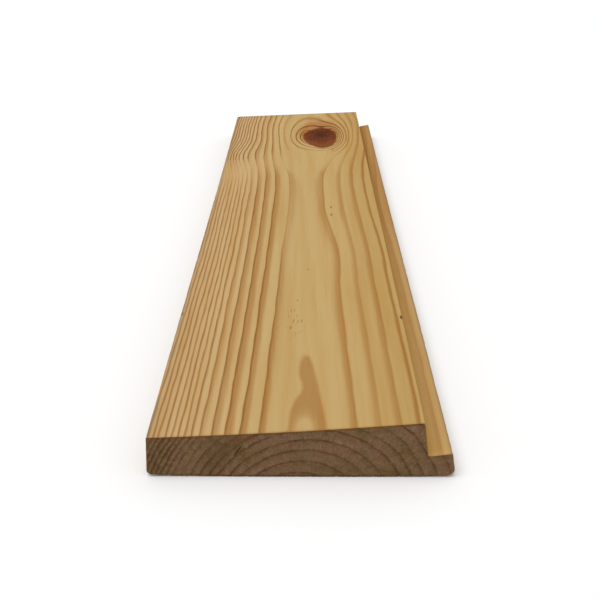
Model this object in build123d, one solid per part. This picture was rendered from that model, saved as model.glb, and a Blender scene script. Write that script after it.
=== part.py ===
from build123d import *
from math import cos, radians, sin, tan
import os

# A rebated feather-edge cladding board: one length of planed softwood. Its section is a wedge
# with a rebate ploughed out of the back along the thick edge. The lip that is left laps over the
# thin edge of the next board down the wall. The board lies on its flat weather face, back up.
#
# +X points from the thin edge to the thick, rebated edge, +Y runs along the grain and +Z is up,
# out of the back. The origin is in the middle of the weather face. Millimetres and degrees.

LENGTH = 670.0          # between the two square sawn ends
BOARD_WIDTH = 145.0     # over both long edges, at their widest

THIN_EDGE = 21.0        # thickness where the back meets the thin edge
THICK_EDGE = 29.5       # thickness where the back meets the shoulder of the rebate
LIP_THICKNESS = 12.5    # thickness of the lip at its outer edge

SEAT_WIDTH = 11.5       # floor of the rebate, from the foot of the shoulder to the lip's edge
REBATE_TILT = 7.0       # the rebate is cut square, but turned so that its floor rises outwards

THIN_EDGE_LEAN = 2.0    # each long edge leans outwards on its way down to the weather face
LIP_EDGE_LEAN = 8.5

THIN_EDGE_ARRIS = 2.0   # radius of the weather face's long corner under the thin edge
LIP_ARRIS = 3.0         # and of the one under the lip
BACK_ARRIS = 0.5        # radius of the long corners of the back and of the lip's top


def run(rise, lean):
    """How far a side that leans by this angle moves sideways over this rise."""
    return rise * tan(radians(lean))


def sharp_corner(lean, arris):
    """Distance from the middle of the board to a sharp corner of the weather face, which an arc of
    this radius rounds.

    The arc touches the board's full width, so the sharp corner stands a little outside it.
    """
    centre = BOARD_WIDTH / 2 - arris
    return centre + arris / cos(radians(lean)) + run(arris, lean)


def section():
    """The board's cross-section, with +X to the right and +Z up, and its corners rounded."""
    thin_foot = (-sharp_corner(THIN_EDGE_LEAN, THIN_EDGE_ARRIS), 0)
    thin_top = (thin_foot[0] + run(THIN_EDGE, THIN_EDGE_LEAN), THIN_EDGE)

    lip_foot = (sharp_corner(LIP_EDGE_LEAN, LIP_ARRIS), 0)
    lip_top = (lip_foot[0] - run(LIP_THICKNESS, LIP_EDGE_LEAN), LIP_THICKNESS)

    tilt = radians(REBATE_TILT)
    shoulder_foot = (lip_top[0] - SEAT_WIDTH * cos(tilt), lip_top[1] - SEAT_WIDTH * sin(tilt))
    shoulder_top = (shoulder_foot[0] - run(THICK_EDGE - shoulder_foot[1], REBATE_TILT), THICK_EDGE)

    with BuildSketch(Plane.XZ) as sketch:
        with BuildLine():
            Polyline(thin_foot, lip_foot, lip_top, shoulder_foot, shoulder_top, thin_top, close=True)
        make_face()
        fillet(sketch.vertices().sort_by_distance(thin_foot)[0], THIN_EDGE_ARRIS)
        fillet(sketch.vertices().sort_by_distance(lip_foot)[0], LIP_ARRIS)
        for corner in (lip_top, shoulder_top, thin_top):
            fillet(sketch.vertices().sort_by_distance(corner)[0], BACK_ARRIS)
    return sketch.sketch


def board():
    """The section carried along the grain, half of the length each way from the origin."""
    return extrude(section(), amount=LENGTH / 2, both=True)


os.makedirs("parts", exist_ok=True)
export_step(board(), "parts/rebated_board.step")
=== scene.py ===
import math

import bpy
import numpy as np
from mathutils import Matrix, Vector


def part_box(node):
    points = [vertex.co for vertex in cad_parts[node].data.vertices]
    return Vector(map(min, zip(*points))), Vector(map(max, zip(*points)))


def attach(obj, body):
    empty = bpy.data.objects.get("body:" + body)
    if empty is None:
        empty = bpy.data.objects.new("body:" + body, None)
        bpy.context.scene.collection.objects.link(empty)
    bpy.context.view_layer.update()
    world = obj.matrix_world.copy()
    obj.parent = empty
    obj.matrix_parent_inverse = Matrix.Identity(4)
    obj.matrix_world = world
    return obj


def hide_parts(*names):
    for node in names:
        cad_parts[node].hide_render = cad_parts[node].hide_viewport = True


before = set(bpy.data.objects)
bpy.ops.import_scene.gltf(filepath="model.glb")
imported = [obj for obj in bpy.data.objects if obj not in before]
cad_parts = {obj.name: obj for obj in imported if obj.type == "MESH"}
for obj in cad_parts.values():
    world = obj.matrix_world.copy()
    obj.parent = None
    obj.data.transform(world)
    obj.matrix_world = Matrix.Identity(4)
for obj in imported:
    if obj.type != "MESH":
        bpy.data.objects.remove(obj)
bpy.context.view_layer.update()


# The board: one length of pine, planed on all four sides to a wedge and rebated along its thick
# edge, so that the lip left there laps over the next board. It lies on its weather face, and it
# has cupped a little at the near end since it was crosscut.

MM = 0.001
board_low, board_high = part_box("rebated_board")
LENGTH = (board_high[1] - board_low[1]) / MM
HALF_WIDTH = (board_high[0] - board_low[0]) / MM / 2

THIN_EDGE = 21.0            # thickness at the thin edge
THICK_EDGE = 29.5           # thickness at the shoulder of the rebate
LIP_THICKNESS = 12.5        # thickness of the lip at its outer edge
SEAT_WIDTH = 11.5           # floor of the rebate
REBATE_TILT = math.radians(7.0)
THIN_EDGE_LEAN = math.radians(2.0)
LIP_EDGE_LEAN = math.radians(8.5)
THIN_EDGE_ARRIS = 2.0       # radius of the long corner underneath, at the thin edge
LIP_ARRIS = 3.0             # and at the lip
BACK_ARRIS = 0.5            # radius of the long corners above


def foot_of_edge(lean, arris):
    """How far out the sharp foot of a leaning edge stands, so that its arris touches full width."""
    return HALF_WIDTH - arris + arris / math.cos(lean) + arris * math.tan(lean)


thin_foot = np.array([-foot_of_edge(THIN_EDGE_LEAN, THIN_EDGE_ARRIS), 0.0])
thin_top = thin_foot + THIN_EDGE * np.array([math.tan(THIN_EDGE_LEAN), 1.0])
lip_foot = np.array([foot_of_edge(LIP_EDGE_LEAN, LIP_ARRIS), 0.0])
lip_top = lip_foot + LIP_THICKNESS * np.array([-math.tan(LIP_EDGE_LEAN), 1.0])
shoulder_foot = lip_top - SEAT_WIDTH * np.array([math.cos(REBATE_TILT), math.sin(REBATE_TILT)])
shoulder_rise = THICK_EDGE - shoulder_foot[1]
shoulder_top = shoulder_foot + shoulder_rise * np.array([-math.tan(REBATE_TILT), 1.0])


def arc_at(before, corner, after, radius, count=7):
    """Rounds a corner. The centre stands on the bisector, at the radius over the sine of half the
    angle, and the points swing about it from the foot on one side to the foot on the other."""
    one = (before - corner) / np.linalg.norm(before - corner)
    other = (after - corner) / np.linalg.norm(after - corner)
    half = math.acos(np.clip(one @ other, -1, 1)) / 2
    centre = corner + (one + other) / np.linalg.norm(one + other) * radius / math.sin(half)
    first = corner + one * radius / math.tan(half) - centre
    last = corner + other * radius / math.tan(half) - centre
    turn = math.pi - 2 * half
    share = np.linspace(0, 1, count)[:, None]
    return centre + (np.sin((1 - share) * turn) * first + np.sin(share * turn) * last) / math.sin(turn)


def filled(stops, step):
    """A path through the given points, with more put in wherever two are over a step apart."""
    gaps = np.linalg.norm(np.diff(stops, axis=0), axis=1)
    counts = np.maximum(np.round(gaps / step), 1).astype(int)
    place = np.repeat(np.arange(len(counts)), counts)
    within = np.arange(counts.sum()) - np.repeat(np.cumsum(counts) - counts, counts)
    share = (within / counts[place])[:, None]
    return np.concatenate([stops[place] * (1 - share) + stops[place + 1] * share, stops[-1:]])


def along(path, share):
    """The points at the given shares, from 0 to 1, of a path's length."""
    length = np.concatenate([[0], np.cumsum(np.linalg.norm(np.diff(path, axis=0), axis=1))])
    return np.stack([np.interp(share * length[-1], length, path[:, k]) for k in (0, 1)], axis=1)


STEP_ACROSS = 0.95          # mesh spacing across the grain
thin_arc = arc_at(thin_top, thin_foot, lip_foot, THIN_EDGE_ARRIS)
lip_arc = arc_at(thin_foot, lip_foot, lip_top, LIP_ARRIS)
over = filled(np.concatenate([
    thin_arc[:1],
    arc_at(thin_foot, thin_top, shoulder_top, BACK_ARRIS),
    arc_at(thin_top, shoulder_top, shoulder_foot, BACK_ARRIS),
    shoulder_foot[None],
    arc_at(shoulder_foot, lip_top, lip_foot, BACK_ARRIS),
    lip_arc[-1:],
]), STEP_ACROSS)
over_length = np.concatenate([[0], np.cumsum(np.linalg.norm(np.diff(over, axis=0), axis=1))])
under = along(np.concatenate([thin_arc, lip_arc]), over_length / over_length[-1])


END_ARRIS = 0.25            # the saw leaves the end's edges this much short of sharp
END_BAND = 1.0              # the faces nearest an end reach this far from it
END_STEP = 0.8              # mesh spacing along the grain: by an end
KNOT_STEP = 2.4             # by the knot
LONGEST_STEP = 5.0          # and elsewhere
BY_KNOT = (500.0, 620.0)    # the stretch that is taken up by the knot and the bends round it


def stations():
    """Places along the grain, as distances from the near end. They stand close together round the
    knot and at the ends: each step is the least of the spacings that are wanted there, which grow
    by a share of the distance from the end and from the knot."""
    steps = [0.0, END_ARRIS, END_BAND]
    while steps[-1] < LENGTH - END_BAND:
        from_end = min(steps[-1], LENGTH - steps[-1])
        from_knot = max(BY_KNOT[0] - steps[-1], steps[-1] - BY_KNOT[1], 0.0)
        step = min(END_STEP + 0.25 * from_end, KNOT_STEP + 0.04 * from_knot, LONGEST_STEP)
        steps.append(steps[-1] + step)
    before_last = [s for s in steps if s < LENGTH - 1.5 * END_BAND]
    return np.array(before_last + [LENGTH - END_BAND, LENGTH - END_ARRIS, LENGTH])


def back_height(x):
    """Height of the back, or of the plane that it lies in, over the weather face."""
    slope = (THICK_EDGE - THIN_EDGE) / (shoulder_top[0] - thin_top[0])
    return THIN_EDGE + (x - thin_top[0]) * slope


def wander(place, lengths, seed):
    """A smooth wander between about -1 and 1: the mean of sine waves of the given lengths, times
    1.6, because they are seldom at their height together."""
    phase = np.random.default_rng(seed).uniform(0, 2 * math.pi, len(lengths))
    waves = np.sin(2 * math.pi * place[..., None] / np.array(lengths) + phase)
    return waves.mean(axis=-1) * 1.6


CUP = 0.9                   # how hollow the near end's back has gone
LIFT = 1.3                  # how far the sides of its weather face have risen off the floor
RAGGED = 0.35               # how deep the saw tore the near end's lower edge
RAGGED_REACH = 0.3          # how far into the board those tears fade out
TEARS = (14.0, 6.1, 3.3, 2.3)               # lengths of the waves that the torn edge is made of
WIND = 1.8                  # how far the far end's back is turned, down at the shoulder's side
SHRUNK = 0.011              # share of its width that the board lost beyond the middle
SHRINKING = (130.0, 420.0)  # the stretch of its length over which that comes in
PLOUGH_DRIFT = 2.0          # the rebate gets this much shallower from the near end to the far one
TRUE_REBATE = 0.2           # and it has its drawn depth at this share of the length
ARRIS_WEAR = 0.25           # deepest dent that handling left in a long corner
DENT_REACH = 0.9            # how far from the corner a dent fades out
DENTS = (61.0, 23.0, 9.5, 5.2)              # lengths of the waves that the dents are made of
DIAGONAL = 0.7              # what a push at 45 degrees moves each way
CHIP = 2.4                  # the far corner of the thin edge is knocked off by this much
CHIP_SLOPE = (0.8, 0.5)     # how much less of it there is for each mm along the board, and down
CHIP_PUSH = (0.35, -0.25, -0.45)            # which way its face lies: across, along and up


def handled(x, s, z):
    """The planed shape after drying and handling. The near end's back sinks in the middle, its
    weather face rises at the sides and its lower edge is torn, and the back turns slightly
    towards the far end, where the board is also narrower and its rebate shallower. The long
    corners are dented by up to the wear, and one far corner is knocked off."""
    across = (x / HALF_WIDTH)**2
    up = np.clip(z / back_height(x), 0, 1)
    on_lip = np.clip((x - shoulder_foot[0]) / (lip_top[0] - shoulder_foot[0]), 0, 1)
    z = z + (1 - s / LENGTH)**1.5 * (LIFT * across * (1 - up) - CUP * (1 - across) * up)
    z = z + RAGGED * np.clip(wander(x, TEARS, 4), 0, 1) * np.exp(-s / RAGGED_REACH - 12 * up)
    z = z - WIND * (s / LENGTH)**2 * up * x / HALF_WIDTH * (1 - on_lip)
    drift = PLOUGH_DRIFT * (s / LENGTH - TRUE_REBATE)
    z = z + drift * np.clip(4 * up, 0, 1) * np.clip(4 * on_lip, 0, 1)
    x = x * (1 - SHRUNK * np.clip((s - SHRINKING[0]) / (SHRINKING[1] - SHRINKING[0]), 0, 1))
    for corner, seed in ((thin_top, 1), (shoulder_top, 2), (lip_top, 3)):
        away = np.hypot(x - corner[0], z - corner[1])
        dent = ARRIS_WEAR * np.exp(-(away / DENT_REACH)**2) * np.clip(wander(s, DENTS, seed), 0, 1)
        x = x - dent * np.sign(corner[0]) * DIAGONAL
        z = z - dent * DIAGONAL
    off = CHIP - (x - thin_top[0]) - (LENGTH - s) * CHIP_SLOPE[0] - (thin_top[1] - z) * CHIP_SLOPE[1]
    off = np.clip(off, 0, CHIP)
    return x + off * CHIP_PUSH[0], s + off * CHIP_PUSH[1], z + off * CHIP_PUSH[2]


ring = np.concatenate([over, under[-2:0:-1]])
places = stations()
core = ring.mean(axis=0)
inset = np.where(np.minimum(places, LENGTH - places) < END_ARRIS / 2, END_ARRIS, 0.0)
toward = (core - ring) / np.linalg.norm(core - ring, axis=1)[:, None]
grid_x = ring[None, :, 0] + inset[:, None] * toward[None, :, 0]
grid_z = ring[None, :, 1] + inset[:, None] * toward[None, :, 1]
grid_s = np.broadcast_to(places[:, None], grid_x.shape)

# An end is ruled from each point of the back's path to its partner on the weather face.
END_ROWS = 14               # rows of faces on the way
n_over, n_ring, n_places = len(over), len(ring), len(places)
partner = np.concatenate([[0], np.arange(n_ring - 1, n_over - 1, -1), [n_over - 1]])
fall = (np.arange(1, END_ROWS) / END_ROWS)[:, None]


def end_rows(place):
    """The points inside an end: straight lines from the back's path down to the weather face."""
    top = np.stack([grid_x[place, :n_over], grid_z[place, :n_over]], axis=-1)[1:-1]
    foot = np.stack([grid_x[place, partner], grid_z[place, partner]], axis=-1)[1:-1]
    return top[None] * (1 - fall[..., None]) + foot[None] * fall[..., None]


near_rows, far_rows = end_rows(0), end_rows(-1)
n_inside = near_rows[..., 0].size
x = np.concatenate([grid_x.ravel(), near_rows[..., 0].ravel(), far_rows[..., 0].ravel()])
z = np.concatenate([grid_z.ravel(), near_rows[..., 1].ravel(), far_rows[..., 1].ravel()])
s = np.concatenate([grid_s.ravel(), np.zeros(n_inside), np.full(n_inside, LENGTH)])


def end_index(place, first):
    """Which vertex stands at each row and column of an end. The outer ones are the last ring's."""
    index = np.empty((END_ROWS + 1, n_over), int)
    index[0] = place * n_ring + np.arange(n_over)
    index[-1] = place * n_ring + partner
    index[1:-1, 1:-1] = first + np.arange((END_ROWS - 1) * (n_over - 2)).reshape(END_ROWS - 1, -1)
    index[:, 0], index[:, -1] = index[0, 0], index[0, -1]
    return index


def squares(grid):
    """The four corners of each face of a grid of vertices, in turn."""
    return np.stack([grid[:-1, :-1], grid[:-1, 1:], grid[1:, 1:], grid[1:, :-1]], axis=-1).reshape(-1, 4)


sides = np.arange(n_places * n_ring).reshape(n_places, n_ring)
sides = np.concatenate([sides, sides[:, :1]], axis=1)
side_faces = squares(sides)
near_index = end_index(0, n_places * n_ring)
far_index = end_index(n_places - 1, n_places * n_ring + n_inside)
near_faces, far_faces = squares(near_index)[:, ::-1], squares(far_index)

# The map that the finish is kept on: the skin is unrolled beside its length, the ends above it.
MAP_EDGE = 0.01             # margin round each part of the map, as a share of the map
SKIN_TOP = 0.905            # how high the skin reaches up it
END_FOOT = 0.925            # and where the ends begin
round_ring = np.concatenate([ring, ring[:1]])
girth = np.concatenate([[0], np.cumsum(np.linalg.norm(np.diff(round_ring, axis=0), axis=1))])
skin_u = np.broadcast_to(MAP_EDGE + (1 - 2 * MAP_EDGE) * girth / girth[-1], sides.shape)
skin_v = np.broadcast_to(MAP_EDGE + (SKIN_TOP - MAP_EDGE) * places[:, None] / LENGTH, sides.shape)
skin_uv = np.stack([squares(skin_u), squares(skin_v)], axis=-1)


def end_uv(index, left, to_right):
    """An end's map is its own elevation, laid in half of the strip above the skin. To the right of
    someone who faces the end, x grows at the near one (1) and falls at the far one (-1)."""
    u = left + (to_right * x[index] + HALF_WIDTH) / (2 * HALF_WIDTH) * (0.5 - 2 * MAP_EDGE)
    v = END_FOOT + z[index] / THICK_EDGE * (1 - MAP_EDGE - END_FOOT)
    return np.stack([squares(u), squares(v)], axis=-1)


near_uv = end_uv(near_index, MAP_EDGE, 1)[:, ::-1]
far_uv = end_uv(far_index, 0.5 + MAP_EDGE, -1)


def as_polygons(faces, uv):
    """Lists of corners. A square that has closed to a point on one side becomes a triangle."""
    kept = faces != np.roll(faces, 1, axis=1)
    return [f[k].tolist() for f, k in zip(faces, kept)], np.concatenate([m[k] for m, k in zip(uv, kept)])


# The wood grew before the board dried and was handled, so its rings are worked out from the straight
# shape, and for most of that the height becomes a depth under the back.
straight = x, s, z
in_tree = x, s, back_height(x) - z
x, s, z = handled(x, s, z)


# How the tree grew. The board was cut beside the pith, so the rings come up through the back as
# long lines, with the tip of one ring showing as a flame at the near end. A branch grew out
# through the back near the far end: the rings swell round it, and it is cut across as the knot.

PITH = np.array([           # distance from the near end, sideways place, depth under the back
    (-60, 2.1, 47.4), (0, 2.6, 48.0), (77, 3.1, 48.7), (167, 3.2, 49.5), (235, 3.6, 49.8),
    (290, 3.1, 50.5), (335, 2.4, 51.1), (430, 2.4, 50.8), (500, 3.6, 47.2), (560, 5.1, 45.9),
    (620, 6.3, 42.9), (670, 6.4, 44.7), (730, 6.4, 46.4),
])
RING_RADII = np.array([     # where each year's dark wood ends
    4.0, 11.0, 18.5, 25.2, 31.5, 37.5, 43.0, 48.7, 53.0, 57.8, 62.7, 67.6, 72.1, 75.6, 78.7,
    81.4, 84.2, 87.2, 90.2, 92.8, 95.4, 98.0, 100.5,
])
AUTUMN = np.array([         # ring, how dark it ends left and right, and the brown share of its year
    (0, 0.85, 0.85, 0.35, 0.35), (6, 0.85, 0.85, 0.35, 0.35), (7, 0.57, 0.57, 0.45, 0.45),
    (8, 0.95, 0.64, 0.32, 0.32), (9, 1.09, 0.46, 0.66, 0.34), (10, 1.13, 0.56, 0.72, 0.42),
    (11, 1.14, 0.76, 0.66, 0.18), (12, 0.88, 0.58, 0.52, 0.45), (13, 0.98, 0.84, 0.43, 0.22),
    (14, 0.80, 0.70, 0.42, 0.35), (15, 0.96, 0.80, 0.40, 0.30), (16, 0.86, 0.70, 0.40, 0.35),
    (17, 0.98, 0.80, 0.42, 0.30), (18, 0.86, 0.70, 0.40, 0.30), (19, 1.00, 0.80, 0.44, 0.30),
    (20, 0.86, 0.80, 0.42, 0.30), (22, 0.98, 0.80, 0.44, 0.30),
])
OFF_CENTRE = 0.23           # each ring's centre lies further right, by this share of its radius
TRUE_CENTRE = 50.0          # radius of the ring whose centre is the pith

KNOT_X, KNOT_S = 16.6, 562.0                # middle of the knot on the back
KNOT_HALF_X, KNOT_HALF_S = 16.6, 41.0       # half its width and half its length
KNOT_RIM = (                # the waves round its rim: how many there are, how high, how far round
    (0, 1.035, 0.0), (1, 0.055, 0.75), (2, 0.04, -2.02), (3, 0.05, 2.83),
)
BRANCH_X, BRANCH_DEPTH = 5.0, 46.0          # where in the pith the branch starts
BRANCH_RISE = 20.0          # it leans this far up the tree on its way out
SWELL = {                   # how high the rings swell by the knot, and how soon they settle
    "right": (33.0, 0.43), "left": (18.8, 0.58), "near": (13.5, 0.27), "far": (8.6, 0.53),
}
WAVER = 0.22                # how far a ring's line strays sideways along the board
WAVERS = (173, 91, 47)      # lengths of the waves that it strays in
SEAT_SHIFT = 1.8            # how much further in the rings' lines lie on the rebate's seat
BENDS = (                   # where the lines bend left (or right): middle, half sizes, by how much
    ((-60, 505), (20, 45), 6.0), ((21, 225), (9, 48), -2.6),
)
FLAME_SHAPE = (             # and what pulls in (or lets out) the outline of the flame
    ((-4.5, 45), (4.5, 24), 0.15), ((-1.5, 41), (5, 11), 0.42), ((-6, 5), (5, 18), 0.10),
    ((11, 8), (6, 26), -0.16),
)


def patch(x, s, middle, size):
    """A soft patch: 1 in its middle, and falling off as a bell to nothing at twice its size."""
    return np.exp(-((x - middle[0]) / size[0])**2 - ((s - middle[1]) / size[1])**2)


def smooth_line(points, place, column):
    """A smooth line through the points: on each span, the cubic whose slope at both ends is that
    of the line between the neighbours."""
    k = np.clip(np.searchsorted(points[:, 0], place) - 1, 1, len(points) - 3)
    at, value = points[:, 0], points[:, column]
    span = at[k + 1] - at[k]
    t = (place - at[k]) / span
    slope_in = (value[k + 1] - value[k - 1]) / (at[k + 1] - at[k - 1]) * span
    slope_out = (value[k + 2] - value[k]) / (at[k + 2] - at[k]) * span
    return ((2 * t**3 - 3 * t**2 + 1) * value[k] + (t**3 - 2 * t**2 + t) * slope_in
            + (3 * t**2 - 2 * t**3) * value[k + 1] + (t**3 - t**2) * slope_out)


def knot_place(x, s, depth):
    """Where a point lies in the knot, as shares of its half sizes: 1 is the rim. The branch is a
    cone from the pith, so its middle and its size follow the depth. Its outline is an ellipse with
    a few low waves round it, each the cosine of so many times the angle."""
    out = np.clip(1 - depth / BRANCH_DEPTH, 0.08, 1)
    u = (x - BRANCH_X - (KNOT_X - BRANCH_X) * out) / (KNOT_HALF_X * out)
    v = (s - KNOT_S + BRANCH_RISE * (1 - out)) / (KNOT_HALF_S * out)
    angle = np.arctan2(v, u)
    rim = sum(height * np.cos(count * angle - turn) for count, height, turn in KNOT_RIM)
    return u / rim, v / rim


def swelling(u, v):
    """How far the rings stand out beyond their own radius: highest at the knot's rim, and fading
    with the distance from it, by amounts that turn smoothly from one side to the next."""
    reach = np.hypot(u, v)
    right, far = u / np.maximum(reach, 1e-6), v / np.maximum(reach, 1e-6)
    share = {"right": np.maximum(right, 0)**2, "left": np.maximum(-right, 0)**2,
             "far": np.maximum(far, 0)**2, "near": np.maximum(-far, 0)**2}
    height = sum(SWELL[side][0] * part for side, part in share.items())
    fade = sum(SWELL[side][1] * part for side, part in share.items())
    return height * np.exp(-np.maximum(reach - 1, 0) / fade)


def ring_count(x, s, depth):
    """How many years out from the pith a point grew. Its distance from the wandering pith, less
    the swelling by the knot, is looked up among the rings' radii. The lines stray a little, bend
    outwards at the thin edge beside the knot, step right at a third of the length, lie further in
    on the rebate's seat, and give the flame a notch on its left and a broader foot."""
    u, v = knot_place(x, s, depth)
    grown = x + WAVER * wander(s + 9 * x, WAVERS, 7)
    grown = grown + sum(shift * patch(x, s, middle, size) for middle, size, shift in BENDS)
    grown = grown + SEAT_SHIFT * np.clip((depth - 6) / 8, 0, 1) * np.clip((x - 48) / 10, 0, 1)
    aside = grown - smooth_line(PITH, s, 1)
    rise = smooth_line(PITH, s, 2) - depth
    aside = aside - OFF_CENTRE * (np.hypot(aside, rise) - TRUE_CENTRE)
    radius = np.hypot(aside, rise) - swelling(u, v) * np.clip(1 - depth / 60, 0, 1)
    radius = radius + sum(shift * patch(x, s, middle, size) for middle, size, shift in FLAME_SHAPE)
    return np.interp(radius, RING_RADII, np.arange(len(RING_RADII)))


def autumn_wood(x, s, depth):
    """Three things about a year's end: how dark it is, what share of the year is brown, and how
    much of that is in the thin line at the very end. Each ring has its own, left and right of the
    middle, and then each region of the board that is named here makes it fainter or darker."""
    u, v = knot_place(x, s, depth)
    years = ring_count(x, s, depth)
    right = np.clip(0.5 + (x - 2) / 6, 0, 1)
    dark, brown = (
        np.interp(years, AUTUMN[:, 0], AUTUMN[:, k]) * (1 - right)
        + np.interp(years, AUTUMN[:, 0], AUTUMN[:, k + 1]) * right for k in (1, 3))

    # The regions, from 0 outside to 1 inside. The plain wood lies just before the knot. At the
    # thin edge the lines are faint up to a place beside that, and dark past it.
    on_back = np.clip(1 - depth / 8, 0, 1)
    in_rebate = np.clip((depth - 2) / 4, 0, 1) * np.clip((x - 50) / 6, 0, 1)
    in_flame = patch(x, s, (2.5, 20), (12, 70)) * on_back
    flame_core = patch(x, s, (1.8, 0), (4.0, 12)) * on_back
    left_of_middle = np.clip((s - 170) / 110, 0, 1) * patch(x, s, (-13, 330), (5, 190))
    plain = np.exp(-((x - 4) / 25)**2) * np.clip((524 - s) / 28, 0, 1) * np.clip((s - 435) / 45, 0, 1)
    past = np.clip((s - 489) / 5, 0, 1) * np.clip((-40 - x) / 8, 0, 1)
    before_past = patch(x, s, (-64, 448), (25, 38)) * (1 - past)
    left_of_plain = patch(x, s, (-35, 470), (22, 26))
    left_of_knot = patch(x, s, (-22, 595), (15, 92)) * (1 - past)
    round_knot = np.exp(-np.abs(np.hypot(u, v) - 1.25) / 0.28)
    arc_past_knot = patch(x, s, (13, 611), (19, 8))
    arc_before_knot = patch(x, s, (18, 515), (12, 5))
    dense = np.clip((-40 - x) / 10, 0, 1)

    dark = dark - 1.1 * plain - 0.66 * before_past - 0.30 * left_of_plain - 0.55 * left_of_middle
    dark = dark - 1.1 * flame_core
    dark = np.clip(dark, 0.03, 1.3) * (1 + 0.22 * dense) * (1 - 0.5 * in_rebate)
    dark = dark * (1 + 0.80 * round_knot * (1 + 0.4 * v - 0.3 * u))
    dark = dark + past * (0.45 - 0.25 * (s - 489) / 181) + 1.1 * arc_past_knot + 0.5 * arc_before_knot
    brown = brown * (1 - 0.35 * left_of_knot) * (1 - 0.5 * round_knot) * (1 - 0.15 * dense)
    brown = brown + 0.2 * in_rebate
    thin = 0.46 - 0.22 * np.clip((x - 10) / 10, 0, 1)
    thin = thin + 0.26 * np.clip(left_of_knot + round_knot + dense, 0, 1)
    return np.stack([dark, brown, thin * (1 - np.clip(2 * in_flame, 0, 1))], axis=-1)


def pace_of_years(x, s, z, normal):
    """How many years pass in a millimetre along the surface: the slope of the count of years, less
    its part along the surface's normal."""
    step = 0.4
    slopes = []
    for ahead in step * np.eye(3):
        counts = [ring_count(x + side * ahead[0], s + side * ahead[1],
                             back_height(x + side * ahead[0]) - z - side * ahead[2]) for side in (1, -1)]
        slopes.append((counts[0] - counts[1]) / (2 * step))
    slope = np.stack(slopes, axis=-1)
    slope = slope - (slope * normal).sum(axis=-1, keepdims=True) * normal
    return np.linalg.norm(slope, axis=-1)


def fibre_place(x, s, depth):
    """Coordinates that follow the fibres, which pass the knot as a stream passes a post: the
    distance across the stream shrinks by one over the square of the reach."""
    u, v = knot_place(x, s, depth)
    round_it = 1 - 1 / np.maximum(u**2 + v**2, 1)
    return np.stack([KNOT_X + (x - KNOT_X) * round_it, s, depth], axis=-1)


def spoke_place(x, s, depth):
    """Coordinates for the wood's rays: the distance from the pith, and the way round it, which is
    the angle times a middling radius."""
    aside, rise = x - smooth_line(PITH, s, 1), smooth_line(PITH, s, 2) - depth
    return np.stack([np.hypot(aside, rise), np.arctan2(aside, rise) * TRUE_CENTRE, s], axis=-1)


def greyed_arris(x, s, z):
    """How grey the long corners went in the weather and in use: 1 on the corner, and falling off
    as a bell with the distance from it. The thin edge's corner is grey in patches."""
    at_lip = np.exp(-(np.hypot(x - lip_top[0], z - lip_top[1]) / 1.0)**2)
    patchy = np.clip(0.7 + 0.5 * wander(s, (150, 70, 31), 8), 0.2, 1)
    at_thin = np.exp(-(np.hypot(x - thin_top[0], z - thin_top[1]) / 1.5)**2) * patchy
    return np.maximum(at_lip, at_thin)


board = bpy.data.meshes.new("softwood_board")
side_polygons, side_map = as_polygons(side_faces, skin_uv)
near_polygons, near_map = as_polygons(near_faces, near_uv)
far_polygons, far_map = as_polygons(far_faces, far_uv)
corners = np.stack([x, s - LENGTH / 2, z], axis=-1) * MM
board.from_pydata(corners, [], side_polygons + near_polygons + far_polygons)
board.uv_layers.new(name="OFBake").data.foreach_set(
    "uv", np.concatenate([side_map, near_map, far_map]).astype(np.float32).ravel())
board.polygons.foreach_set("use_smooth", np.ones(len(board.polygons), bool))
is_end = np.arange(len(board.polygons)) >= len(side_polygons)
board.polygons.foreach_set("material_index", is_end.astype(np.int32))
board.set_sharp_from_angle(angle=math.radians(40))


def keep_on_points(name, values):
    """Keeps one number, or one vector, for each point of the board's mesh."""
    is_vector = values.ndim == 2
    layer = board.attributes.new(name, "FLOAT_VECTOR" if is_vector else "FLOAT", "POINT")
    layer.data.foreach_set("vector" if is_vector else "value", values.astype(np.float32).ravel())


normals = np.empty(3 * len(board.vertices), np.float32)
board.vertex_normals.foreach_get("vector", normals)
keep_on_points("years", ring_count(*in_tree))
keep_on_points("autumn", autumn_wood(*in_tree))
keep_on_points("pace", pace_of_years(*straight, normals.reshape(-1, 3)))
keep_on_points("knot", np.stack([*knot_place(*in_tree), np.zeros_like(x)], axis=-1))
keep_on_points("fibre", fibre_place(*in_tree))
keep_on_points("spoke", spoke_place(*in_tree))
keep_on_points("greyed", greyed_arris(*straight))

softwood_board = bpy.data.objects.new("softwood_board", board)
bpy.context.scene.collection.objects.link(softwood_board)
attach(softwood_board, "root")
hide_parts("rebated_board")


# The planed faces: pine off a planer's knives, bare of any finish, so it is pale and nearly matt.
# Each year is pale soft wood that darkens outwards to a hard brown line and then starts again.

def linear(hex_colour):
    """A colour written in sRGB hex, turned to the linear values that the shaders take."""
    parts = np.array([int(hex_colour[i:i + 2], 16) / 255 for i in (1, 3, 5)])
    return (*np.where(parts <= 0.04045, parts / 12.92, ((parts + 0.055) / 1.055)**2.4), 1.0)


def add(tree, kind, inputs, stops=(), **settings):
    """Adds a node with its settings, and sets or links its inputs. An input is named or counted
    among those in use, and a node given as a value stands for its first output in use."""
    made = tree.nodes.new("ShaderNode" + kind)
    for name, value in settings.items():
        setattr(made, name, value)
    for key, value in inputs.items():
        used = [socket for socket in made.inputs if socket.enabled]
        socket = used[key] if isinstance(key, int) else next(i for i in used if i.name == key)
        if isinstance(value, bpy.types.Node):
            value = next(output for output in value.outputs if output.enabled)
        if isinstance(value, bpy.types.NodeSocket):
            tree.links.new(value, socket)
        else:
            socket.default_value = value
    for k, (place, colour) in enumerate(stops):
        ramp = made.color_ramp.elements
        stop = ramp[k] if k < 2 else ramp.new(place)
        stop.position, stop.color = place, colour
    return made


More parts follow.
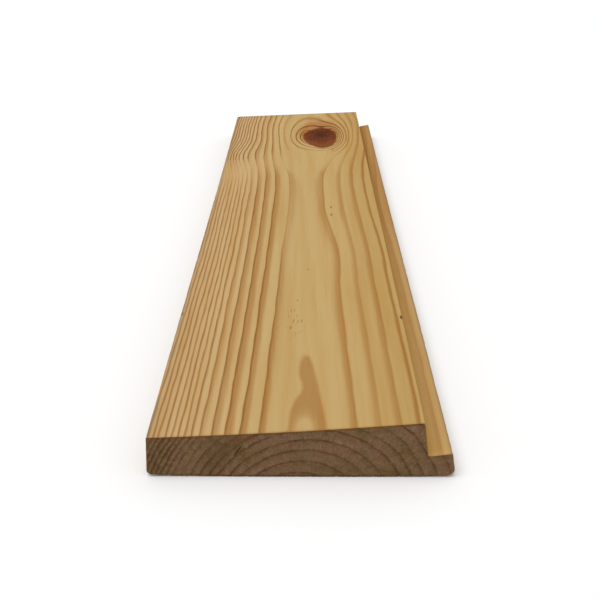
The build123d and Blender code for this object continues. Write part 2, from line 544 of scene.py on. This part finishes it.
def new_material(name):
    """An empty material, and its tree with the output node."""
    material = bpy.data.materials.new(name)
    material.use_nodes = True
    material.node_tree.nodes.clear()
    return material, material.node_tree


def grey(value):
    """A grey of the given linear value."""
    return (value, value, value, 1.0)


planed_pine, tree = new_material("planed_pine")
year = add(tree, "Attribute", {}, attribute_name="years").outputs["Fac"]
pace = add(tree, "Attribute", {}, attribute_name="pace").outputs["Fac"]
fibres = add(tree, "Attribute", {}, attribute_name="fibre").outputs["Vector"]
knot_at = add(tree, "Attribute", {}, attribute_name="knot").outputs["Vector"]
autumn = add(tree, "Attribute", {}, attribute_name="autumn").outputs["Vector"]
autumn = add(tree, "SeparateXYZ", {0: autumn})
dark, brown, thin = autumn.outputs["X"], autumn.outputs["Y"], autumn.outputs["Z"]
place = add(tree, "TexCoord", {}).outputs["Object"]
place_x = add(tree, "SeparateXYZ", {0: place}).outputs["X"]
place_y = add(tree, "SeparateXYZ", {0: place}).outputs["Y"]
under_back = add(tree, "SeparateXYZ", {0: fibres}).outputs["Z"]

# The fibres fray a ring's line by up to 0.2 mm each way, over 0.8 mm across and 18 mm along.
thread = add(tree, "Mapping", {"Vector": fibres, "Scale": (1 / 0.8, 1 / 18, 1 / 0.8)})
fray = add(tree, "TexNoise", {"Vector": thread, "Scale": 1.0, "Detail": 2.0})
fray = add(tree, "MapRange", {"Value": fray, "To Min": -0.4, "To Max": 0.4})
grown = add(tree, "Math", {0: fray, 1: pace, 2: year}, operation="MULTIPLY_ADD")
season = add(tree, "Math", {0: grown}, operation="FRACT")

# A year ends in a brown band, which comes in softly. Its last 1.1 to 1.4 mm darken to a line, and
# that stops within 0.6 mm of the next year, or more softly where the line is weak.
band_start = add(tree, "Math", {0: brown, 1: -1.2, 2: 1.0}, operation="MULTIPLY_ADD")
band_full = add(tree, "Math", {0: brown, 1: -0.35, 2: 1.0}, operation="MULTIPLY_ADD")
band = add(tree, "MapRange", {"Value": season, "From Min": band_start, "From Max": band_full},
           interpolation_type="SMOOTHSTEP")
line_width = add(tree, "Math", {0: thin, 1: 0.5, 2: -1.5}, operation="MULTIPLY_ADD")
line_start = add(tree, "Math", {0: pace, 1: line_width, 2: 1.0}, operation="MULTIPLY_ADD")
line = add(tree, "MapRange", {"Value": season, "From Min": line_start, "From Max": 1.0})
late = add(tree, "Mix", {"Factor": thin, "A": band, "B": line})
line_stop = add(tree, "Math", {0: thin, 1: -2.6, 2: 1.8}, operation="MULTIPLY_ADD")
line_stop = add(tree, "Math", {0: line_stop, 1: 0.6}, operation="MAXIMUM")
line_stop = add(tree, "Math", {0: line_stop, 1: pace, 2: 0.004}, operation="MULTIPLY_ADD")
stopping = add(tree, "MapRange", {"Value": season, "From Max": line_stop, "To Min": 1.0, "To Max": 0.0})
late = add(tree, "Math", {0: late, 1: stopping}, operation="MAXIMUM")

# The darkest lines, round the knot, are over half as strong again as the common ones.
STRONGEST = 1.6
late = add(tree, "Math", {0: late, 1: dark}, operation="MULTIPLY")
late = add(tree, "Math", {0: late, 1: STRONGEST}, operation="DIVIDE")
wood = add(tree, "ValToRGB", {"Fac": late}, stops=[
    (0.0, linear("#caad78")), (0.10, linear("#c7a774")), (0.22, linear("#be9a64")),
    (0.36, linear("#b48b55")), (0.50, linear("#a67c48")), (0.62, linear("#956d3c")),
    (0.80, linear("#7c522a")), (1.0, linear("#5c381b"))])

# Across the board the wood turns from pale near the thin edge to golden at the shoulder, and the
# rebate's seat is pale again.
across_tone = add(tree, "MapRange", {"Value": place_x, "From Min": -0.070, "From Max": 0.060})
across_tone = add(tree, "ValToRGB", {"Fac": across_tone}, stops=[
    (0.0, linear("#f2eae0")), (0.08, linear("#fcf8f4")), (0.26, linear("#fcfaf6")),
    (0.45, linear("#f5f2ea")), (0.72, linear("#f6f2e6")), (0.88, linear("#eee6d2")),
    (0.96, linear("#ece3cc")), (1.0, linear("#fdf8ee"))])
wood = add(tree, "Mix", {"Factor": 1.0, "A": wood, "B": across_tone}, data_type="RGBA",
           blend_type="MULTIPLY")

# From 12 mm in at the thin edge outwards the wood is dry sapwood, greyer than the rest, and the
# change to it starts 47 mm in.
sapwood = add(tree, "MapRange", {"Value": place_x, "From Min": -0.060, "From Max": -0.025, "To Min": 0.24,
                                 "To Max": 0.0})
wood = add(tree, "Mix", {"Factor": sapwood, "A": wood, "B": linear("#c6a680")}, data_type="RGBA")

# The rebate is warmer and darker than the back, and most so at the far end.
in_rebate = add(tree, "MapRange", {"Value": under_back, "From Min": 2.0, "From Max": 6.0})
past_back = add(tree, "MapRange", {"Value": place_x, "From Min": 0.054, "From Max": 0.060})
warmth = add(tree, "MapRange", {"Value": place_y, "From Min": -0.335, "From Max": 0.335, "To Min": 0.10,
                                "To Max": 0.75})
warmth = add(tree, "Math", {0: warmth, 1: in_rebate}, operation="MULTIPLY")
warmth = add(tree, "Math", {0: warmth, 1: past_back}, operation="MULTIPLY")
wood = add(tree, "Mix", {"Factor": warmth, "A": wood, "B": linear("#e0c3a4")}, data_type="RGBA",
           blend_type="MULTIPLY")

# The inner half of its seat is more orange still, and the slight darkening that comes with it is painted
# shade from the shoulder beside it.
inner_shade_and_tint = add(tree, "MapRange", {"Value": place_x, "From Min": 0.061, "From Max": 0.066, "To Min": 1.0,
                               "To Max": 0.0})
inner_shade_and_tint = add(tree, "Math", {0: inner_shade_and_tint, 1: in_rebate}, operation="MULTIPLY")
inner_shade_and_tint = add(tree, "Math", {0: inner_shade_and_tint, 1: past_back}, operation="MULTIPLY")
wood = add(tree, "Mix", {"Factor": inner_shade_and_tint, "A": wood, "B": linear("#fbf5dc")}, data_type="RGBA",
           blend_type="MULTIPLY")

# Resin makes broad streaks warmer, 7 mm across and 200 mm long.
cloud = add(tree, "Mapping", {"Vector": fibres, "Scale": (1 / 7, 1 / 200, 1 / 7)})
cloud = add(tree, "TexNoise", {"Vector": cloud, "Scale": 1.0, "Detail": 2.0})
cloud = add(tree, "MapRange", {"Value": cloud, "From Min": 0.42, "From Max": 0.72})
wood = add(tree, "Mix", {"Factor": cloud, "A": wood, "B": linear("#f8eddc")}, data_type="RGBA",
           blend_type="MULTIPLY")

# Fibres show as fine streaks. They are 0.04 mm wide, drawn here 0.4 mm wide so as to show at all.
fine = add(tree, "Mapping", {"Vector": fibres, "Scale": (1 / 0.4, 1 / 30, 1 / 0.4)})
streak = add(tree, "TexNoise", {"Vector": fine, "Scale": 1.0, "Detail": 3.0, "Roughness": 0.6})
streak_tone = add(tree, "MapRange", {"Value": streak, "From Min": 0.3, "From Max": 0.7,
                                     "To Min": 0.955, "To Max": 1.04})
wood = add(tree, "Mix", {"Factor": 1.0, "A": wood, "B": streak_tone}, data_type="RGBA",
           blend_type="MULTIPLY")

# Resin canals are cut open as short dark dashes, 0.2 mm wide and drawn 0.5 mm wide so as to show,
# by 4 mm. They lie in one patch in the near half.
dash = add(tree, "Mapping", {"Vector": fibres, "Scale": (1 / 0.9, 1 / 8, 1 / 0.9)})
dash = add(tree, "TexNoise", {"Vector": dash, "Scale": 1.0, "Detail": 0.0})
crowd = add(tree, "Mapping", {"Vector": place, "Location": (0.25, 3.36, 0.0), "Scale": (70.0, 16.0, 0.0)})
crowd = add(tree, "VectorMath", {0: crowd}, operation="LENGTH").outputs["Value"]
crowd = add(tree, "MapRange", {"Value": crowd, "To Min": 0.56, "To Max": 0.90})
dash = add(tree, "Math", {0: dash, 1: crowd}, operation="SUBTRACT")
dash = add(tree, "MapRange", {"Value": dash, "From Max": 0.10, "To Max": 0.5})
wood = add(tree, "Mix", {"Factor": dash, "A": wood, "B": linear("#8c6c3e")}, data_type="RGBA")

# Small marks: each has its place across and along, its half sizes, how much it covers, and its
# colour. Six are dead knots and dirt, one is a resin streak near the knot, one is a stain beyond
# it, and the last is the grime in the chipped corner.
marks = (
    (21.9, 335.5, 0.9, 3.4, 0.60, "#6f4e29"), (21.8, 316.8, 1.0, 3.6, 0.60, "#6f4e29"),
    (4.2, 205.6, 0.6, 1.8, 0.55, "#6f4e29"), (-2.4, 155.1, 0.5, 1.8, 0.50, "#6f4e29"),
    (57.0, 120.6, 1.0, 2.8, 0.90, "#4a3216"), (-71.2, 143.0, 1.0, 3.2, 0.80, "#5a4630"),
    (27.5, 512.0, 1.6, 5.0, 0.45, "#8f6a3a"),
    (13.5, 645.0, 8.0, 9.0, 0.55, "#ad7a52"), (-69.5, 668.0, 2.6, 5.0, 0.75, "#4d3c28"),
)
for mark_x, mark_s, half_x, half_s, cover, colour in marks:
    mark = add(tree, "Mapping", {
        "Vector": place, "Location": (-mark_x / half_x, (LENGTH / 2 - mark_s) / half_s, 0.0),
        "Scale": (1 / (half_x * MM), 1 / (half_s * MM), 0.0)})
    mark = add(tree, "VectorMath", {0: mark}, operation="LENGTH").outputs["Value"]
    mark = add(tree, "MapRange", {"Value": mark, "From Min": 0.4, "From Max": 1.25, "To Min": cover,
                                  "To Max": 0.0}, interpolation_type="SMOOTHSTEP")
    wood = add(tree, "Mix", {"Factor": mark, "A": wood, "B": linear(colour)}, data_type="RGBA")

# The wood close round the knot is stained red-brown by its resin, most on the far side.
reach = add(tree, "VectorMath", {0: knot_at}, operation="LENGTH").outputs["Value"]
halo = add(tree, "VectorMath", {0: knot_at, 1: (-0.10, 0.50, 0.0)}, operation="DISTANCE").outputs["Value"]
halo = add(tree, "MapRange", {"Value": halo, "From Min": 0.80, "From Max": 1.45, "To Min": 0.80,
                              "To Max": 0.0}, interpolation_type="SMOOTHSTEP")
wood = add(tree, "Mix", {"Factor": halo, "A": wood, "B": linear("#dcb08c")}, data_type="RGBA",
           blend_type="MULTIPLY")

# The knot: the branch seen end on, hard and dark with resin. It is darkest in the middle and redder round
# that, its near half has a few paler spots that are painted highlights where the resin glints, and its far
# rim fades into the wood.
mottle = add(tree, "TexNoise", {"Vector": knot_at, "Scale": 2.6, "Detail": 5.0, "Roughness": 0.65})
mottle_shift = add(tree, "MapRange", {"Value": mottle, "To Min": -0.55, "To Max": 0.55})
heart = add(tree, "Mapping", {"Vector": knot_at, "Location": (-0.04, -0.30, 0.0),
                              "Scale": (0.90, 1.20, 1.0)})
heart = add(tree, "VectorMath", {0: heart}, operation="LENGTH").outputs["Value"]
heart = add(tree, "Math", {0: heart, 1: mottle_shift}, operation="ADD")
knot_wood = add(tree, "ValToRGB", {"Fac": heart}, stops=[
    (0.0, linear("#46230b")), (0.30, linear("#53280f")), (0.60, linear("#672f13")),
    (0.90, linear("#743919")), (1.0, linear("#7c451f"))])
# Painted highlights: small paler spots where the knot's resin glints.
painted_glints = add(tree, "TexNoise", {"Vector": knot_at, "Scale": 5.5, "Detail": 2.0})
painted_glints = add(tree, "MapRange", {"Value": painted_glints, "From Min": 0.56, "From Max": 0.72, "To Max": 0.45})
knot_wood = add(tree, "Mix", {"Factor": painted_glints, "A": knot_wood, "B": linear("#85503a")}, data_type="RGBA")
ringlet = add(tree, "Math", {0: mottle_shift, 1: 0.22, 2: reach}, operation="MULTIPLY_ADD")
ringlet = add(tree, "Math", {0: ringlet, 1: 30.0}, operation="MULTIPLY")
ringlet = add(tree, "Math", {0: ringlet}, operation="SINE")
ringlet = add(tree, "MapRange", {"Value": ringlet, "From Min": -1.0, "To Min": 0.93, "To Max": 1.05})
knot_wood = add(tree, "Mix", {"Factor": 1.0, "A": knot_wood, "B": ringlet}, data_type="RGBA",
                blend_type="MULTIPLY")
far_side = add(tree, "SeparateXYZ", {0: knot_at}).outputs["Y"]
far_side = add(tree, "MapRange", {"Value": far_side, "From Min": 0.45, "From Max": 1.0})
rim_full = add(tree, "Math", {0: far_side, 1: -0.26, 2: 0.92}, operation="MULTIPLY_ADD")
rim_shift = add(tree, "Math", {0: mottle_shift, 1: 0.12, 2: reach}, operation="MULTIPLY_ADD")
inside = add(tree, "MapRange", {"Value": rim_shift, "From Min": rim_full, "From Max": 1.05, "To Min": 1.0,
                                "To Max": 0.0}, interpolation_type="SMOOTHSTEP")
wood = add(tree, "Mix", {"Factor": inside, "A": wood, "B": knot_wood}, data_type="RGBA")

# The crosscut saw bruised and soiled the last 3 mm at the far end, and browned the last 1.4 mm at
# the near one.
soiled = add(tree, "MapRange", {"Value": place_y, "From Min": (LENGTH / 2 - 3.2) * MM,
                                "From Max": (LENGTH / 2 - 0.6) * MM, "To Max": 0.55})
wood = add(tree, "Mix", {"Factor": soiled, "A": wood, "B": linear("#75603c")}, data_type="RGBA")
soiled = add(tree, "MapRange", {"Value": place_y, "From Min": -(LENGTH / 2 - 1.4) * MM,
                                "From Max": -LENGTH / 2 * MM, "To Max": 0.5})
wood = add(tree, "Mix", {"Factor": soiled, "A": wood, "B": linear("#96663a")}, data_type="RGBA")

# The long corners are greyed by handling.
greyed = add(tree, "Attribute", {}, attribute_name="greyed").outputs["Fac"]
greyed = add(tree, "Math", {0: greyed, 1: 0.68}, operation="MULTIPLY")
wood = add(tree, "Mix", {"Factor": greyed, "A": wood, "B": linear("#8c7659")}, data_type="RGBA")

# Bare wood has no sheen, not even at a low angle, so its gloss is turned down to next to nothing.
bump = add(tree, "Bump", {"Height": streak, "Strength": 0.12, "Distance": 0.0002})
finish =add(tree, "BsdfPrincipled", {"Base Color": wood, "Roughness": 0.7, "IOR": 1.5,
                                      "Specular IOR Level": 0.02, "Normal": bump})
add(tree, "OutputMaterial", {"Surface": finish})
board.materials.append(planed_pine)


# The sawn ends: the same years cut across by a crosscut saw. Cut fibres drink the light, so the
# end is darker and matt, with the rings as thin dark arcs over the pith and fine rays across them.

sawn_pine, tree = new_material("sawn_pine_end_grain")
year = add(tree, "Attribute", {}, attribute_name="years").outputs["Fac"]
spoke = add(tree, "Attribute", {}, attribute_name="spoke").outputs["Vector"]
place = add(tree, "TexCoord", {}).outputs["Object"]
height = add(tree, "SeparateXYZ", {0: place}).outputs["Z"]

pace = add(tree, "Attribute", {}, attribute_name="pace").outputs["Fac"]
under_back = add(tree, "Attribute", {}, attribute_name="fibre").outputs["Vector"]
under_back = add(tree, "SeparateXYZ", {0: under_back}).outputs["Z"]

# The saw tears a ring's line by up to 0.4 mm, and some rings end darker than others.
torn = add(tree, "TexNoise", {"Vector": place, "Scale": 1 / (1.6 * MM), "Detail": 3.0})
torn = add(tree, "MapRange", {"Value": torn, "To Min": -0.8, "To Max": 0.8})
grown = add(tree, "Math", {0: torn, 1: pace, 2: year}, operation="MULTIPLY_ADD")
season = add(tree, "Math", {0: grown}, operation="FRACT")
late = add(tree, "MapRange", {"Value": season, "From Min": 0.45, "To Max": 0.38})
line_start = add(tree, "Math", {0: pace, 1: -1.3, 2: 1.0}, operation="MULTIPLY_ADD")
line = add(tree, "MapRange", {"Value": season, "From Min": line_start, "From Max": 1.0})
late = add(tree, "Math", {0: late, 1: line}, operation="MAXIMUM")
line_stop = add(tree, "Math", {0: pace, 1: 0.7}, operation="MULTIPLY")
stopping = add(tree, "MapRange", {"Value": season, "From Max": line_stop, "To Min": 1.0, "To Max": 0.0})
late = add(tree, "Math", {0: late, 1: stopping}, operation="MAXIMUM")
worn = add(tree, "TexNoise", {"Vector": spoke, "Scale": 1 / 14, "Detail": 2.0})
worn = add(tree, "MapRange", {"Value": worn, "From Min": 0.35, "From Max": 0.62, "To Min": 0.35,
                              "To Max": 0.85})
late = add(tree, "Math", {0: late, 1: worn}, operation="MULTIPLY")

# Patches about 10 mm wide, with finer ones in them, are pinker, greener or more yellow, where the
# open wood took up dirt and resin.
patches = add(tree, "TexNoise", {"Vector": place, "Scale": 1 / (11 * MM), "Detail": 4.0, "Roughness": 0.65})
end_wood = add(tree, "ValToRGB", {"Fac": patches}, stops=[
    (0.32, linear("#7d6038")), (0.43, linear("#886c49")), (0.50, linear("#8d6f50")),
    (0.56, linear("#926c4e")), (0.64, linear("#8f7156")), (0.74, linear("#a5825a"))])
end_wood = add(tree, "Mix", {"Factor": late, "A": end_wood, "B": linear("#573a20")}, data_type="RGBA")

# The rays run out from the pith: 0.1 mm wide in the wood, drawn here 0.6 mm wide so as to show.
# The cut fibres show as specks: 0.04 mm in the wood, drawn 0.7 mm wide.
ray_grain = add(tree, "Mapping", {"Vector": spoke, "Scale": (1 / 7, 1 / 0.6, 1.0)})
ray_grain = add(tree, "TexNoise", {"Vector": ray_grain, "Scale": 1.0, "Detail": 2.0})
blotch = add(tree, "TexNoise", {"Vector": place, "Scale": 1 / (2.6 * MM), "Detail": 2.0})
speck = add(tree, "TexNoise", {"Vector": place, "Scale": 1 / (0.7 * MM), "Detail": 3.0, "Roughness": 0.7})
for grain, depth_of_tone in ((ray_grain, 0.11), (blotch, 0.12), (speck, 0.26)):
    tone = add(tree, "MapRange", {"Value": grain, "From Min": 0.3, "From Max": 0.7,
                                  "To Min": 1 - depth_of_tone, "To Max": 1 + depth_of_tone})
    end_wood = add(tree, "Mix", {"Factor": 1.0, "A": end_wood, "B": tone}, data_type="RGBA",
                   blend_type="MULTIPLY")
fluff = add(tree, "MapRange", {"Value": speck, "From Min": 0.66, "From Max": 0.78, "To Max": 0.5})
end_wood = add(tree, "Mix", {"Factor": fluff, "A": end_wood, "B": linear("#ab8a6c")}, data_type="RGBA")

# Marks on the near end: each has its place across and up, its half length and half width, the
# slope of its length, how much it covers, and its colour. They are a damp patch, a resin stain
# under the back, and a drying crack along a ring.
end_marks = (
    (-39.0, 11.0, 12.0, 7.0, 58.0, 0.35, "#5e4628"), (-27.0, 20.4, 7.5, 1.5, 8.0, 0.55, "#7d4f26"),
    (-29.3, 14.2, 4.2, 0.45, 55.6, 0.85, "#3a2917"),
)
for mark_x, mark_z, half_long, half_wide, slope, cover, colour in end_marks:
    mark = add(tree, "Mapping", {
        "Vector": place, "Location": (mark_x * MM, -LENGTH / 2 * MM, mark_z * MM),
        "Rotation": (0.0, -math.radians(slope), 0.0),
        "Scale": (half_long * MM, LENGTH / 2 * MM, half_wide * MM)}, vector_type="TEXTURE")
    mark = add(tree, "VectorMath", {0: mark}, operation="LENGTH").outputs["Value"]
    mark = add(tree, "MapRange", {"Value": mark, "From Min": 0.4, "From Max": 1.25, "To Min": cover,
                                  "To Max": 0.0}, interpolation_type="SMOOTHSTEP")
    end_wood = add(tree, "Mix", {"Factor": mark, "A": end_wood, "B": linear(colour)}, data_type="RGBA")

# Along the weather face's arris the end is painted darker towards its foot, as painted shade where it meets
# the floor, and under the back the saw left a scorched, torn line.
painted_contact_shade = add(tree, "MapRange", {"Value": height, "From Max": 1.9 * MM, "To Min": 0.75, "To Max": 0.0})
end_wood = add(tree, "Mix", {"Factor": painted_contact_shade, "A": end_wood, "B": linear("#40311f")}, data_type="RGBA")
scorch = add(tree, "MapRange", {"Value": under_back, "From Min": 0.3, "From Max": 1.6, "To Min": 1.0,
                                "To Max": 0.0})
scorch = add(tree, "Math", {0: scorch, 1: patches}, operation="MULTIPLY")
end_wood = add(tree, "Mix", {"Factor": scorch, "A": end_wood, "B": linear("#74421c")}, data_type="RGBA")
bump = add(tree, "Bump", {"Height": speck, "Strength": 0.6, "Distance": 0.0003})
finish = add(tree, "BsdfPrincipled", {"Base Color": end_wood, "Roughness": 0.85, "IOR": 1.5,
                                      "Specular IOR Level": 0.1, "Normal": bump})
add(tree, "OutputMaterial", {"Surface": finish})
board.materials.append(sawn_pine)


# The floor: a wide sheet of white card under the board. The camera sees it white, and it gives
# the board less light back than white card would, as a dull table does.

FLOOR_REACH = 12.0          # metres each way
DULL_CARD = 0.35            # share of the light that it gives back to the board
floor_mesh =bpy.data.meshes.new("floor")
floor_mesh.from_pydata([(-FLOOR_REACH, -FLOOR_REACH, 0), (FLOOR_REACH, -FLOOR_REACH, 0),
                        (FLOOR_REACH, FLOOR_REACH, 0), (-FLOOR_REACH, FLOOR_REACH, 0)], [], [(0, 1, 2, 3)])
floor = bpy.data.objects.new("floor", floor_mesh)
bpy.context.scene.collection.objects.link(floor)



def in_plain_view(tree):
    """1 for what the camera sees, also in a mirror or through glass, and 0 for light on its way
    from one surface to another."""
    ray = add(tree, "LightPath", {})
    seen = add(tree, "Math", {0: ray.outputs["Is Camera Ray"], 1: ray.outputs["Is Glossy Ray"]},
               operation="ADD")
    return add(tree, "Math", {0: seen, 1: ray.outputs["Is Transmission Ray"]}, operation="ADD",
               use_clamp=True)


white_card, tree = new_material("white_card")
card = add(tree, "Mix", {"Factor": in_plain_view(tree), "A": grey(DULL_CARD), "B": grey(1.0)},
           data_type="RGBA")
card =add(tree, "BsdfDiffuse", {"Color": card})
add(tree, "OutputMaterial", {"Surface": card})
floor_mesh.materials.append(white_card)


# The light: an even white room, and one broad soft lamp high up on the camera's left. The room
# lights the board less than it shows white.

SKY = 0.62                  # how bright the room is for the board
SUN = 1.35                  # what the lamp adds
LAMP_SPREAD = math.radians(50)              # how wide the lamp looks from the board
LAMP_TILT = (math.radians(12), math.radians(-14), 0)
world =bpy.data.worlds.new("white_room")
bpy.context.scene.world = world
world.use_nodes = True
tree = world.node_tree
tree.nodes.clear()
glow = add(tree, "MapRange", {"Value": in_plain_view(tree), "To Min": SKY, "To Max": 1.0})
add(tree, "OutputWorld", {"Surface": add(tree, "Background", {"Color": grey(1.0), "Strength": glow})})

lamp = bpy.data.lights.new("soft_lamp", "SUN")
lamp.energy = SUN
lamp.angle = LAMP_SPREAD
soft_lamp = bpy.data.objects.new("soft_lamp", lamp)
soft_lamp.rotation_euler = LAMP_TILT
bpy.context.scene.collection.objects.link(soft_lamp)


# The camera stands low in front of the near end and looks down along the board.

FOCAL_LENGTH = 60.0         # mm
SENSOR_WIDTH = 36.0         # mm
CAMERA_PLACE = (0.00178, -0.73676, 0.25988)
CAMERA_PITCH = 22.859       # degrees under the horizon
CAMERA_YAW = 0.287          # degrees to the left
lens = bpy.data.cameras.new("camera")
lens.lens = FOCAL_LENGTH
lens.sensor_width = SENSOR_WIDTH
lens.clip_start = 0.01
lens.clip_end = 100.0
camera = bpy.data.objects.new("camera", lens)
camera.location = CAMERA_PLACE
camera.rotation_euler = (math.radians(90 - CAMERA_PITCH), 0, math.radians(CAMERA_YAW))
bpy.context.scene.collection.objects.link(camera)
bpy.context.scene.camera = camera
bpy.context.scene.view_settings.view_transform = "Standard"
